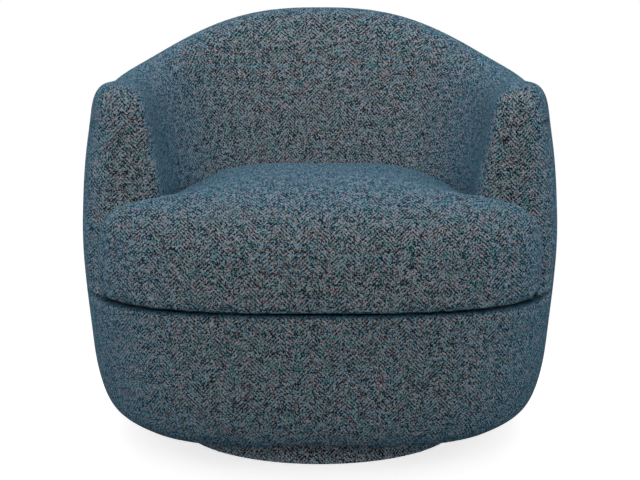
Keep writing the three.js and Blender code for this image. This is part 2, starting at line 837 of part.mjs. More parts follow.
function swivelPlate(bottom) {
  const flat = plateHalfSize - plateCornerRadius;
  const shape = new THREE.Shape();
  [[1, 1], [-1, 1], [-1, -1], [1, -1]].forEach(([x, y], quarter) => {
    const start = quarter * Math.PI / 2;
    shape.absarc(x * flat, y * flat, plateCornerRadius, start, start + Math.PI / 2);
  });
  const screwPlace = plateHalfSize - plateScrewInset;
  for (const x of [-screwPlace, screwPlace]) {
    for (const y of [-screwPlace, screwPlace]) shape.holes.push(hole(x, y, plateScrewRadius));
  }
  shape.holes.push(hole(0, 0, kingBoltRadius + running));
  return pressed(shape, plateThickness).translate(0, 0, bottom);
}
const kingHeadTop = boardBottom - seat;
const kingNutBottom = upperPlateTop + seat;
function kingBolt() {
  const head = rod(kingHeadRadius, kingHeadTop - kingHeadHeight, kingHeadTop, hexSides);
  const shank = rod(kingBoltRadius, kingHeadTop - kingHeadHeight / 2, kingNutBottom + kingNutHeight + steel);
  return joined(head, shank);
}
function kingNut() {
  const top = kingNutBottom + kingNutHeight;
  const bore = rod(kingBoltRadius + running, kingNutBottom - overrun, top + overrun);
  return cut(rod(kingHeadRadius, kingNutBottom, top, hexSides), bore);
}
function ballCage() {
  const middle = cageBottom + ballRadius;
  const half = cageThickness / 2;
  const [inner, outer] = [ballCircleRadius - cageHalfWidth, ballCircleRadius + cageHalfWidth];
  const cage = ring(inner, outer, middle - half, middle + half);
  const balls = Array.from({ length: ballCount }, (_, i) => {
    const turn = 2 * Math.PI * (i + 0.5) / ballCount;
    const ball = new THREE.SphereGeometry(ballRadius, ballSides, ballRings).rotateX(Math.PI / 2);
    return ball.translate(ballCircleRadius * Math.cos(turn), ballCircleRadius * Math.sin(turn), middle);
  });
  return joined(cage, ...balls);
}

// Rocker mechanism

function crossMember() {
  const outer = crossWidth / 2;
  const inner = outer - steel;
  const outline = [
    [-outer, 0], [-outer, crossHeight], [outer, crossHeight], [outer, 0],
    [inner, 0], [inner, crossHeight - steel], [-inner, crossHeight - steel], [-inner, 0],
  ].map(([y, z]) => new THREE.Vector2(y, z));
  const half = railInnerEdge + railWidth;
  return pressedAcross(new THREE.Shape(outline), -half, 2 * half).translate(0, 0, crossBottom);
}
// Flange with an ear that carries the pivot: it stands up on a rail and hangs down from an arm
function earedFlange(earEdge, flangeBottom, earFoot, boreRadius) {
  const flange = new THREE.BoxGeometry(railWidth, 2 * railHalfLength, steel);
  flange.translate(railInnerEdge + railWidth / 2, 0, flangeBottom + steel / 2);
  const up = Math.sign(pivotHeight - earFoot);
  const shape = new THREE.Shape();
  shape.moveTo(-up * earHalfWidth, earFoot);
  shape.lineTo(up * earHalfWidth, earFoot);
  shape.absarc(0, pivotHeight, earTopRadius, up > 0 ? 0 : Math.PI, up > 0 ? Math.PI : 2 * Math.PI);
  shape.closePath();
  shape.holes.push(hole(0, pivotHeight, boreRadius));
  return joined(flange, pressedAcross(shape, earEdge, steel));
}
const bushBore = axleRadius + running;
const bushRadius = bushBore + bushWall;
const armEarEdge = railInnerEdge + steel + armPlateGap;
const rockerRail = () => (
  earedFlange(railInnerEdge, railBottom, railBottom + steel / 2, bushRadius + running)
);
const rockerArm = () => earedFlange(armEarEdge, armFlangeBottom, armFlangeTop - steel / 2, bushBore);
function pivotBush() {
  const face = railInnerEdge + steel + seat;
  const profile = [
    [bushBore, railInnerEdge], [bushRadius, railInnerEdge], [bushRadius, face],
    [bushFlangeRadius, face], [bushFlangeRadius, face + bushFlange], [bushBore, face + bushFlange],
  ];
  return alongX(revolved(profile)).translate(0, 0, pivotHeight);
}
const clipInner = armEarEdge + steel + seat;
function pivotAxle() {
  const end = clipInner + clipThickness + axleEndOverhang;
  return alongX(rod(axleRadius, -end, end)).translate(0, 0, pivotHeight);
}
const axleClip = () => (
  alongX(ring(bushBore, clipRadius, clipInner, clipInner + clipThickness)).translate(0, 0, pivotHeight)
);

// Coil spring with closed ends: its first and last curl lie flat, and the rest climb evenly
class CoilLine extends THREE.Curve {
  constructor(height) {
    super();
    this.height = height;
  }

  getPoint(t) {
    const turn = 2 * Math.PI * springCurls * t;
    const flat = 1 / springCurls;
    const climb = THREE.MathUtils.clamp((t - flat / 2) / (1 - flat), 0, 1);
    return point(springRadius * Math.cos(turn), springRadius * Math.sin(turn), this.height * climb);
  }
}
const coil = new CoilLine(armFlangeBottom - railTop - 2 * seat - springWire);
const rockSpring = () => wire(coil, springWire, wireSides, curlSteps * springCurls);

// Least gap of a wire to itself, measured between points of its curve at least a length apart along it
function leastGap(curve, diameter, apart) {
  const places = curve.getSpacedPoints(gapPoints);
  const stride = Math.ceil(gapPoints * apart / curve.getLength());
  const distances = places.flatMap((place, i) => places.slice(i + stride).map((p) => p.distanceTo(place)));
  return distances.reduce((least, distance) => Math.min(least, distance)) - diameter;
}
const halfCurl = Math.PI * springRadius;
console.log(`Least gap of a rock spring to itself: ${leastGap(coil, springWire, halfCurl).toFixed(2)} mm`);

// Rubber stop, as tall as lets the arm reach its limit on that side with a little to spare
function bumpStop(limitDegrees) {
  const limit = radians(limitDegrees);
  const lever = armFlangeBottom - pivotHeight;
  const reached = pivotHeight + lever * Math.cos(limit) - (stopReach + stopRadius) * Math.sin(limit);
  return rod(stopRadius, railTop + seat, reached - stopClearance, roundSides, stopTopRadius);
}

// Assembly
const chair = new THREE.Group();
const plinth = new THREE.Group();
const swivel = new THREE.Group();
const tub = new THREE.Group();
chair.add(plinth, swivel, tub);

function add(parent, name, geometry, material) {
  const mesh = new THREE.Mesh(geometry, material);
  mesh.name = name;
  parent.add(mesh);
  return mesh;
}
function addPair(parent, name, make, material) {
  add(parent, `${name}_left`, mirrored(welded(make())), material);
  add(parent, `${name}_right`, make(), material);
}

add(plinth, 'plinth_board', ring(kingBoltRadius + running, boardRadius, boardBottom, plinthHeight), plywood);
add(
  plinth,
  'plinth_ring',
  ring(boardRadius - plinthRingWidth, boardRadius, glideThickness + seat, boardBottom - seat, ringStations),
  plywood,
);
add(plinth, 'plinth_cover', plinthCover(), darkTweed);
for (let i = 0; i < glideCount; i += 1) {
  const turn = 2 * Math.PI * (i + 0.5) / glideCount;
  const place = boardRadius - plinthRingWidth / 2;
  const glide = add(plinth, `glide_${i + 1}`, rod(glideRadius, 0, glideThickness), nylon);
  glide.position.set(place * Math.cos(turn), place * Math.sin(turn), 0);
}
add(plinth, 'swivel_lower_plate', swivelPlate(plateBottom), zincSteel);
add(plinth, 'king_bolt', kingBolt(), zincSteel);
add(plinth, 'king_nut', kingNut(), zincSteel);
add(chair, 'ball_cage', ballCage(), nylon);

add(swivel, 'swivel_upper_plate', swivelPlate(upperPlateBottom), zincSteel);
add(swivel, 'cross_member_front', crossMember(), blackSteel).position.setY(-crossReach);
add(swivel, 'cross_member_back', crossMember(), blackSteel).position.setY(crossReach);
addPair(swivel, 'rocker_rail', rockerRail, blackSteel);
addPair(swivel, 'pivot_bush', pivotBush, nylon);
for (const [side, x] of [['left', -springCentreOffset], ['right', springCentreOffset]]) {
  for (const [end, sign, limit] of [['front', -1, rockForwardDegrees], ['back', 1, rockBackDegrees]]) {
    const spring = add(swivel, `rock_spring_${side}_${end}`, rockSpring(), springSteel);
    spring.position.set(x, sign * springReach, railTop + seat + springWire / 2);
    const stop = add(swivel, `bump_stop_${side}_${end}`, bumpStop(limit), rubber);
    stop.position.set(x, sign * stopReach, 0);
  }
}

addPair(tub, 'rocker_arm', rockerArm, blackSteel);
add(tub, 'pivot_axle', pivotAxle(), zincSteel);
addPair(tub, 'axle_clip', axleClip, zincSteel);
addPair(tub, 'mount_rail', mountRail, hardwood);
add(tub, 'bottom_ring', bottomRing(), plywood);
const corners = { front_right: -45, back_right: 45, back_left: 135, front_left: 225 };
for (const [corner, degrees] of Object.entries(corners)) {
  add(tub, `base_post_${corner}`, basePost(degrees), hardwood);
}
const sides = { right: 0, back: 90, left: 180, front: 270 };
for (const [side, degrees] of Object.entries(sides)) {
  add(tub, `seat_rail_${side}`, seatRail(degrees), hardwood);
}
addPair(tub, 'arm_post', armPost, hardwood);
addPair(tub, 'back_post', backPost, hardwood);
add(tub, 'top_rail', loft(topRailRows()), plywood);
for (let i = 0; i < seatSpringCount; i += 1) {
  const x = (i - (seatSpringCount - 1) / 2) * seatSpringSpacing;
  const spring = add(tub, `seat_spring_${i + 1}`, seatSpring(Math.abs(x)), springSteel);
  spring.position.set(x, 0, seatRailTop + seat + seatSpringWire / 2);
}
add(tub, 'dust_cover', dustCover(), cambric);
add(tub, 'seat_deck', seatDeck(), felt);
add(tub, 'base_upholstery', baseUpholstery(), darkTweed);
addPair(tub, 'arm_upholstery', armUpholstery, tweed);
add(tub, 'back_upholstery', backUpholstery(), tweed);
add(tub, 'seat_cushion', seatCushion(), tweed);

export default chair;
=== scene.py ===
import math

import bmesh
import bpy
import numpy as np
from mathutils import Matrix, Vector


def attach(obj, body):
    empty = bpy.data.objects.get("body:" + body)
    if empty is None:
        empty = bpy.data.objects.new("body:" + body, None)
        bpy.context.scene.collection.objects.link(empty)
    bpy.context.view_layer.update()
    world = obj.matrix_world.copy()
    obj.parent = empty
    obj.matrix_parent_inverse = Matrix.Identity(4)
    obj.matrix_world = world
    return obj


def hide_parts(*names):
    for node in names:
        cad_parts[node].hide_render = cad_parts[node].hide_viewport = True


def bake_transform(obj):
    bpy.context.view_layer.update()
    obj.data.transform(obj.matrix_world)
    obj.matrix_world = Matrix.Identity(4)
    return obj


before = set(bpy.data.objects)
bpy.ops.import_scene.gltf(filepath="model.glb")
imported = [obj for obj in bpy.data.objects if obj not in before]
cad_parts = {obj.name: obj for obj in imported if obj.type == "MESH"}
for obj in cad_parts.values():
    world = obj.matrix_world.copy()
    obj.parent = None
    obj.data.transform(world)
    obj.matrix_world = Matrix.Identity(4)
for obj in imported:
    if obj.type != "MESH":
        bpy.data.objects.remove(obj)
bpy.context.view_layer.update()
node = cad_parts
scene = bpy.context.scene
scene.view_settings.view_transform = "Standard"


# The camera stands three metres from the chair's axis, a little higher than the top of its back, and looks a
# little down. Its height, tilt and lens were fitted to the chair's outline in the photograph.
camera = bpy.data.objects.new("camera", bpy.data.cameras.new("camera"))
scene.collection.objects.link(camera)
camera.location = (0, -3.0, 0.877)
camera.rotation_euler = (math.radians(80.02), 0, 0)
camera.data.sensor_width = 36
camera.data.lens = 93.15
scene.camera = camera


# Floor: a pale studio sweep. The camera sees it lit near the plinth, where the soft shadow falls, and plain
# white farther out, as it sees the room. The cloth sees it darker, so that little light comes up from it.

# Shader wiring, for this and every other finish. A Signal is one output in a node tree: sums and products of
# signals add their Math nodes. A Wiring adds any other node, its settings first and then the values or links
# of its sockets.
class Signal:
    def __init__(self, wiring, socket):
        self.wiring = wiring
        self.socket = socket

    def maths(self, operation, *values):
        sockets = dict(enumerate(values))
        return self.wiring.add("ShaderNodeMath", {"operation": operation}, sockets)["Value"]

    def __add__(self, other):
        return self.maths("ADD", self, other)

    def __radd__(self, other):
        return self.maths("ADD", other, self)

    def __sub__(self, other):
        return self.maths("SUBTRACT", self, other)

    def __rsub__(self, other):
        return self.maths("SUBTRACT", other, self)

    def __mul__(self, other):
        return self.maths("MULTIPLY", self, other)

    def __rmul__(self, other):
        return self.maths("MULTIPLY", other, self)

    def __truediv__(self, other):
        return self.maths("DIVIDE", self, other)

    def floor(self):
        return self.maths("FLOOR", self)

    def modulo(self, other):
        return self.maths("FLOORED_MODULO", self, other)

    def pingpong(self, other):
        return self.maths("PINGPONG", self, other)

    def cosine(self):
        return self.maths("COSINE", self)

    def larger(self, other):
        return self.maths("MAXIMUM", self, other)

    def clamped(self):
        return self.maths("MINIMUM", self.larger(0.0), 1.0)


class Results:
    def __init__(self, wiring, shader_node):
        self.wiring = wiring
        self.node = shader_node

    def __getitem__(self, output):
        return Signal(self.wiring, self.node.outputs[output])


class Wiring:
    def __init__(self, tree):
        self.tree = tree

    def add(self, kind, settings=None, sockets=None):
        new = self.tree.nodes.new(kind)
        for key, value in (settings or {}).items():
            if key == "stops":
                ramp = new.color_ramp
                while len(ramp.elements) < len(value):
                    ramp.elements.new(1.0)
                for stop, (position, colour) in zip(ramp.elements, value):
                    stop.position = position
                    stop.color = (*colour, 1.0)
            else:
                setattr(new, key, value)
        for key, value in (sockets or {}).items():
            self.link(new.inputs[key], value)
        return Results(self, new)

    def link(self, socket, value):
        if isinstance(value, Signal):
            self.tree.links.new(value.socket, socket)
        elif isinstance(value, tuple) and socket.type == "RGBA":
            socket.default_value = (*value, 1.0)
        else:
            socket.default_value = value


# One material, with a Principled shader whose constants are set straight on its sockets.
class Finish(Wiring):
    def __init__(self, name, constants):
        self.material = bpy.data.materials.new(name)
        self.material.use_nodes = True
        super().__init__(self.material.node_tree)
        self.shader = self.tree.nodes["Principled BSDF"]
        for socket, value in constants.items():
            self.shader.inputs[socket].default_value = value

    def noise(self, vector, scale, detail=2.0, roughness=0.5, distortion=0.0):
        sockets = {"Vector": vector, "Scale": scale, "Detail": detail, "Roughness": roughness}
        return self.add("ShaderNodeTexNoise", None, sockets | {"Distortion": distortion})["Fac"]

    def ramp(self, factor, *stops):
        return self.add("ShaderNodeValToRGB", {"stops": stops}, {"Fac": factor})["Color"]

    def mix(self, factor, first, second):
        return self.add("ShaderNodeMix", {"data_type": "RGBA"}, {0: factor, 6: first, 7: second})[2]

    def bumped(self, height, distance):
        sockets = {"Height": height, "Distance": distance, "Strength": 1.0}
        self.link(self.shader.inputs["Normal"], self.add("ShaderNodeBump", None, sockets)["Normal"])

    def coloured(self, colour, roughness=None):
        self.link(self.shader.inputs["Base Color"], colour)
        if roughness is not None:
            self.link(self.shader.inputs["Roughness"], roughness)

    def coordinates(self):
        return self.add("ShaderNodeTexCoord")["Object"]

    def stretched(self, x, y, z):
        sockets = {"Vector": self.coordinates(), "Scale": (x, y, z)}
        return self.add("ShaderNodeMapping", None, sockets)["Vector"]


def dress(obj, *finishes):
    obj.data.materials.clear()
    for finish in finishes:
        obj.data.materials.append(finish.material)


floor_reach, shade_end, white_start, floor_glow, floor_bounce = 14, 0.4, 0.8, 0.72, 0.2
floor_mesh = bmesh.new()
bmesh.ops.create_grid(floor_mesh, x_segments=1, y_segments=1, size=floor_reach)
floor_data = bpy.data.meshes.new("floor")
floor_mesh.to_mesh(floor_data)
floor_mesh.free()
floor = bpy.data.objects.new("floor", floor_data)
scene.collection.objects.link(floor)
sweep = Finish("pale_sweep", {"Base Color": (0.8, 0.8, 0.8, 1), "Roughness": 1.0, "Specular IOR Level": 0.0})
from_axis = sweep.add("ShaderNodeVectorMath", {"operation": "LENGTH"}, {0: sweep.coordinates()})["Value"]
fade = ((from_axis - shade_end) / (white_start - shade_end)).clamped()
white = sweep.add("ShaderNodeEmission", None, {"Color": (1, 1, 1), "Strength": 1.0})["Emission"]
glow = sweep.add("ShaderNodeEmission", None, {"Color": (1, 1, 1), "Strength": floor_glow})["Emission"]
lit = Signal(sweep, sweep.shader.outputs["BSDF"])
near = sweep.add("ShaderNodeAddShader", None, {0: lit, 1: glow})[0]
faded = sweep.add("ShaderNodeMixShader", None, {0: fade, 1: near, 2: white})[0]
seen = sweep.add("ShaderNodeLightPath")["Is Camera Ray"]
dim = sweep.add("ShaderNodeBsdfDiffuse", None, {"Color": (floor_bounce,) * 3})["BSDF"]
surface = sweep.add("ShaderNodeMixShader", None, {0: seen, 1: dim, 2: faded})[0]
sweep.link(sweep.tree.nodes["Material Output"].inputs["Surface"], surface)
dress(floor, sweep)

# Studio light: an even grey room, which the camera and reflections see as white, a broad soft box overhead,
# one with a narrow beam above and behind the camera and a smaller one at each side.
room_strength = 0.32
world = bpy.data.worlds.new("studio")
world.use_nodes = True
scene.world = world
studio = Wiring(world.node_tree)
rays = studio.add("ShaderNodeLightPath")
direct = rays["Is Camera Ray"].larger(rays["Is Glossy Ray"]).larger(rays["Is Transmission Ray"])
room = world.node_tree.nodes["Background"]
room.inputs["Color"].default_value = (1, 1, 1, 1)
studio.link(room.inputs["Strength"], direct * (1 - room_strength) + room_strength)


def soft_box(name, place, aim, width, height, watts, spread=180):
    data = bpy.data.lights.new(name, "AREA")
    data.shape = "RECTANGLE"
    data.size, data.size_y, data.energy, data.spread = width, height, watts, math.radians(spread)
    lamp = bpy.data.objects.new(name, data)
    scene.collection.objects.link(lamp)
    lamp.location = place
    lamp.rotation_euler = (Vector(aim) - Vector(place)).to_track_quat("-Z", "Y").to_euler()


soft_box("overhead_box", place=(0, -0.3, 2.9), aim=(0, 0, 0.4), width=2.6, height=2.2, watts=19)
soft_box("front_box", place=(0, -3.3, 2.0), aim=(0, 0, 0.95), width=3.0, height=2.2, watts=13.6, spread=60)
soft_box("left_box", place=(-2.8, -0.6, 1.3), aim=(0, 0, 0.5), width=1.6, height=1.6, watts=12)
soft_box("right_box", place=(2.8, -0.6, 1.3), aim=(0, 0, 0.5), width=1.6, height=1.6, watts=12)


# Hidden works: hardwood rails and posts, plywood board and rings, zinc plated, spring and black painted
# steel, nylon and rubber. They keep the solids' shapes, and each finish has its grain, scratches or marks.
def timber(name, dark, light, along, ring_scale):
    finish = Finish(name, {"Specular IOR Level": 0.3})
    place = finish.stretched(*along)
    grain = finish.noise(place, ring_scale, 6.0, 0.62, 0.6)
    pores = finish.noise(finish.stretched(*(4 * k for k in along)), ring_scale * 3, 3.0)
    tone = grain * 0.75 + pores * 0.35
    finish.coloured(finish.ramp(tone, (0.32, dark), (0.68, light)), pores * 0.25 + 0.5)
    finish.bumped(grain + pores * 0.5, 0.0004)
    return finish


hardwood = timber("hardwood", (0.36, 0.21, 0.1), (0.68, 0.47, 0.27), (7, 1, 7), 9)
plywood = timber("plywood", (0.42, 0.28, 0.15), (0.74, 0.56, 0.35), (2, 2, 60), 6)


def metal(name, colour, roughness, spots, wear):
    finish = Finish(name, {"Metallic": 1.0})
    place = finish.coordinates()
    cloud = finish.noise(place, spots, 4.0)
    scratch = finish.noise(finish.stretched(40, 400, 400), 4.0, 2.0)
    darker = tuple(0.55 * k for k in colour)
    shade = finish.ramp(cloud * 0.7 + scratch * wear, (0.3, darker), (0.7, colour))
    finish.coloured(shade, cloud * 0.25 + roughness)
    finish.bumped(cloud + scratch * wear, 0.0002)
    return finish


zinc_steel = metal("zinc_steel", (0.66, 0.67, 0.69), 0.22, 90, 0.3)
spring_steel = metal("spring_steel", (0.2, 0.2, 0.21), 0.3, 160, 0.3)


def moulded(name, colour, roughness, grain_scale, depth, metallic=0.0):
    finish = Finish(name, {"Metallic": metallic})
    place = finish.coordinates()
    speck = finish.noise(place, grain_scale, 3.0)
    cloud = finish.noise(place, 18, 2.0)
    lighter = tuple(min(1.0, 1.35 * k + 0.01) for k in colour)
    finish.coloured(finish.mix(cloud * 0.5 + speck * 0.5, colour, lighter), speck * 0.2 + roughness)
    finish.bumped(speck, depth)
    return finish


black_steel = moulded("black_steel", (0.018, 0.018, 0.02), 0.28, 700, 0.00015, 0.3)
nylon = moulded("nylon", (0.72, 0.7, 0.64), 0.35, 300, 0.0001)
rubber = moulded("rubber", (0.012, 0.012, 0.013), 0.6, 500, 0.0003)

stock = {
    hardwood: ("mount_rail", "base_post", "seat_rail", "arm_post", "back_post"),
    plywood: ("plinth_board", "plinth_ring", "bottom_ring", "top_rail"),
    zinc_steel: ("swivel_lower_plate", "swivel_upper_plate", "king_bolt", "king_nut", "pivot_axle",
                 "axle_clip"),
    spring_steel: ("rock_spring", "seat_spring"),
    black_steel: ("cross_member", "rocker_rail", "rocker_arm"),
    nylon: ("glide", "ball_cage", "pivot_bush"),
    rubber: ("bump_stop",),
}
for finish, starts in stock.items():
    for name, part in node.items():
        if name.startswith(starts):
            dress(part, finish)


# Upholstery cloth: a heavy wool tweed in a broken herringbone of pale diagonals on a dark ground, with slubs
# of teal, mauve and olive, and a bluish nap that shows where the cloth turns away. It follows the piece's own
# cloth map, whose first coordinate counts across the stripes and whose second runs along them, in metres.
def herringbone(name, seamed_and_shaded=False, painted_light_gain=1.0):
    finish = Finish(name, {
        "Roughness": 0.95, "Specular IOR Level": 0.1,
        "Sheen Weight": 0.42, "Sheen Roughness": 0.35, "Sheen Tint": (0.02, 0.5, 0.9, 1),
    })
    cloth = finish.add("ShaderNodeUVMap", {"uv_map": "cloth"})["UV"]
    split = finish.add("ShaderNodeSeparateXYZ", None, {"Vector": cloth})
    stripe, pitch, seam_width, yarn_depth = 0.0265, 0.0070, 0.0035, 0.0024
    across, along = split["X"] + stripe / 2, split["Y"]
    turned = (across / stripe).floor().modulo(2.0)
    zigzag = across.pingpong(stripe)
    over, with_rib = along + zigzag + turned * (pitch / 2), along - zigzag
    wander = finish.noise(cloth, 120, 2.0) - 0.5
    rib = (over * (2 * math.pi / pitch) + wander * 2.0).cosine() * 0.5 + 0.5
    # Dashes along the rib, and specks, slubs, knobs and clouds in the yarn, scaled by how many go to a metre
    dash_place = finish.add("ShaderNodeCombineXYZ", None, {0: over * 450.0, 1: with_rib * 230.0})["Vector"]
    dash = finish.noise(dash_place, 1.0, 1.0, 0.4)
    speck = finish.noise(cloth, 560, 1.0, 0.6)
    slub = finish.noise(finish.stretched(1, 0.15, 1), 330, 1.0, 0.6)
    knobs = finish.noise(cloth, 190, 1.0, 0.6)
    cloud = finish.noise(cloth, 70, 2.0, 0.6)
    yarns = (rib - 0.5) * 1.4 + (dash - 0.5) * 6.5 + (speck - 0.5) * 6.0 + (slub - 0.5) * 6.0
    pale = (yarns + (knobs - 0.5) * 4.6 + (cloud - 0.5) * 3.4 + 0.36).clamped()
    warmth = ((finish.noise(dash_place, 0.45, 1.0) - 0.5) * 7.0 + 0.4).clamped()
    # The cloth's colours are multiplied by this gain: above 1 it paints light onto a copy of the tweed.
    cool_yarn = tuple(painted_light_gain * k for k in (0.190, 0.320, 0.405))
    warm_yarn = tuple(painted_light_gain * k for k in (0.385, 0.325, 0.332))
    ground = tuple(painted_light_gain * k for k in (0.002, 0.009, 0.017))
    colour = finish.mix(pale, ground, finish.mix(warmth, cool_yarn, warm_yarn))
    teal, mauve, olive = (0.010, 0.235, 0.205), (0.26, 0.105, 0.12), (0.17, 0.165, 0.08)
    for tint, shift, rarity in ((teal, 1.0, 1.3), (mauve, 2.0, 1.7), (olive, 3.0, 1.7)):
        sockets = {"Vector": cloth, "Location": (shift, shift, 0)}
        moved = finish.add("ShaderNodeMapping", None, sockets)["Vector"]
        patch = finish.noise(moved, 45, 2.0)
        knot = finish.noise(moved, 330, 1.0)
        amount = ((patch - 0.5) * 5.0 + (knot - 0.5) * 12.0 - rarity).clamped() * 0.85
        colour = finish.mix(amount, colour, tint)
    height = rib * 0.4 + dash + speck * 0.8 + knobs * 1.9
    # A near-black diffuse is mixed into the grooves: the seams' dark joints, and painted shade along the seat
    # seam in front, which is widened over the rim under the cushion.
    if seamed_and_shaded:
        distance = finish.add("ShaderNodeAttribute", {"attribute_name": "seam"})["Fac"]
        groove_and_crease_shade = (1.0 - distance / seam_width).clamped()
        height = height - groove_and_crease_shade * 2.5
        cloth_shader = Signal(finish, finish.shader.outputs["BSDF"])
        seam_pit_and_crease_shade = finish.add("ShaderNodeBsdfDiffuse", None, {"Color": (0.006, 0.010, 0.014)})["BSDF"]
        sewn_and_shaded = finish.add("ShaderNodeMixShader", None, {0: groove_and_crease_shade * 0.85, 1: cloth_shader, 2: seam_pit_and_crease_shade})[0]
        finish.link(finish.tree.nodes["Material Output"].inputs["Surface"], sewn_and_shaded)
    finish.coloured(colour)
    finish.bumped(height, yarn_depth)
    return finish


tweed = herringbone("tweed")
# The tub's tweed: seams, and painted shade in the crease under the cushion.
seamed_shaded_tweed = herringbone("seamed_shaded_tweed", seamed_and_shaded=True)
# Plinth cloth: painted light, twice as light, for the plinth in the shade of the body above it.
lit_plinth_tweed = herringbone("lit_plinth_tweed", painted_light_gain=2.0)


# Plinth cover: the same tweed with painted light: its colours are twice as light as the rest, for the light
# that the plinth lacks in the body's shade. It is drawn round the plinth, folded over its top edge and on
# over the board, with one join at the back.
wrap_radius, wrap_foot, wrap_top, wrap_fold, wrap_hole = 0.2550, 0.0015, 0.0378, 0.004, 0.150
side_cloth, top_cloth = 0.0024, 0.0015
fold_radius, fold_height = wrap_radius - wrap_fold, wrap_top - wrap_fold
wrap_section = [(wrap_radius - side_cloth, wrap_foot)]
wrap_section += [(wrap_radius, z) for z in np.linspace(wrap_foot, fold_height, 9)]
wrap_section += [(fold_radius + wrap_fold * math.cos(turn), fold_height + wrap_fold * math.sin(turn))
                 for turn in np.linspace(0, math.pi / 2, 6)[1:]]
wrap_section += [(wrap_hole, wrap_top), (wrap_hole, wrap_top - top_cloth),
                 (wrap_radius - side_cloth, wrap_top - top_cloth)]
wrap = bmesh.new()
bmesh.ops.create_circle(wrap, segments=len(wrap_section), cap_ends=False, radius=1)
wrap.verts.ensure_lookup_table()
for vert, (radius, height) in zip(wrap.verts, wrap_section):
    vert.co = (0, radius, height)
bmesh.ops.spin(wrap, geom=list(wrap.verts) + list(wrap.edges), axis=(0, 0, 1), cent=(0, 0, 0), steps=180,
               angle=2 * math.pi, use_merge=True)
bmesh.ops.recalc_face_normals(wrap, faces=list(wrap.faces))
wrap_data = bpy.data.meshes.new("plinth_wrap")
wrap.to_mesh(wrap_data)
wrap.free()
plinth_wrap = bpy.data.objects.new("plinth_wrap", wrap_data)
scene.collection.objects.link(plinth_wrap)
plinth_wrap.data.polygons.foreach_set("use_smooth", [True] * len(plinth_wrap.data.polygons))


# Places of a mesh's points, and its faces' corners, middles and normals, as arrays
def surveyed(obj):
    data = obj.data
    points = np.zeros(len(data.vertices) * 3)
    data.vertices.foreach_get("co", points)
    points = points.reshape(-1, 3)
    corners = np.zeros(len(data.loops), int)
    data.loops.foreach_get("vertex_index", corners)
    sizes = np.zeros(len(data.polygons), int)
    data.polygons.foreach_get("loop_total", sizes)
    middles = np.zeros(len(data.polygons) * 3)
    data.polygons.foreach_get("center", middles)
    normals = np.zeros(len(data.polygons) * 3)
    data.polygons.foreach_get("normal", normals)
    return points, corners, sizes, middles.reshape(-1, 3), normals.reshape(-1, 3)


def lay_cloth(obj, panel_maps, panel_of_face):
    points, corners, sizes, middles, normals = surveyed(obj)
    panel = np.repeat(panel_of_face(middles, normals), sizes)
    cloth = np.zeros((len(corners), 2))
    for number, panel_map in enumerate(panel_maps):
        chosen = panel == number
        cloth[chosen] = np.stack(panel_map(*points[corners[chosen]].T), axis=1)
    layer = obj.data.uv_layers.new(name="cloth")
    layer.data.foreach_set("uv", cloth.ravel())


def wrap_panel(side):
    def panel(x, y, z):
        return side * np.arctan2(np.abs(x), -y) * wrap_radius, z + wrap_radius - np.hypot(x, y)
    return panel


def wrap_side(middles, normals):
    return (middles[:, 0] > 0).astype(int)


lay_cloth(plinth_wrap, (wrap_panel(-1), wrap_panel(1)), wrap_side)
dress(plinth_wrap, lit_plinth_tweed)
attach(plinth_wrap, "plinth")
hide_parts("plinth_cover")


# Rock springs: four coils of spring steel between the turning base and the rocker arms.
# A copied piece starts from the mesh of its solid, whose loose triangles are merged first.
def copied(name, source):
    data = node[source].data.copy()
    data.name = name
    shell = bmesh.new()
    shell.from_mesh(data)
    bmesh.ops.remove_doubles(shell, verts=list(shell.verts), dist=0.00002)
    shell.to_mesh(data)
    shell.free()
    obj = bpy.data.objects.new(name, data)
    scene.collection.objects.link(obj)
    return obj


for side in ("left", "right"):
    for end in ("front", "back"):
        coil = copied(f"rock_coil_{side}_{end}", f"rock_spring_{side}_{end}")
        dress(coil, spring_steel)
        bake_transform(coil)
        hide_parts(f"rock_spring_{side}_{end}")


# Deck pad and dust cover: a felt pad lies on the seat springs under the cushion, dark, partly as painted
# shade:
# its edge shows in the crease under the cushion, where it stands for shade. Black cambric is stretched under
# the frame. Both are plain thin goods, close to their solids.
pad_inset = 0.022
deck_felt_and_crease_shade = Finish("deck_felt_and_crease_shade", {"Roughness": 1.0, "Specular IOR Level": 0.1})
fluff = deck_felt_and_crease_shade.noise(deck_felt_and_crease_shade.coordinates(), 420, 4.0)
# The felt's dark colours are partly painted shade for the crease under the cushion.
deck_felt_and_crease_shade.coloured(deck_felt_and_crease_shade.ramp(fluff, (0.35, (0.012, 0.02, 0.026)), (0.65, (0.05, 0.065, 0.075))))
deck_felt_and_crease_shade.bumped(fluff, 0.0005)
deck_pad = copied("deck_pad", "seat_deck")
for vert in deck_pad.data.vertices:
    vert.co.xy *= 1 - pad_inset / vert.co.xy.length
dress(deck_pad, deck_felt_and_crease_shade)
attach(deck_pad, "tub")
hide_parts("seat_deck")

cambric = Finish("cambric", {"Roughness": 0.9, "Specular IOR Level": 0.25})
spun = cambric.noise(cambric.stretched(60, 60, 60), 14, 5.0, 0.7)
cambric_tone = cambric.ramp(spun, (0.3, (0.006, 0.006, 0.007)), (0.7, (0.03, 0.03, 0.033)))
cambric.coloured(cambric_tone, spun * 0.2 + 0.75)
cambric.bumped(spun, 0.0004)
dust_cloth = copied("dust_cloth", "dust_cover")
dress(dust_cloth, cambric)
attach(dust_cloth, "tub")
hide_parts("dust_cover")


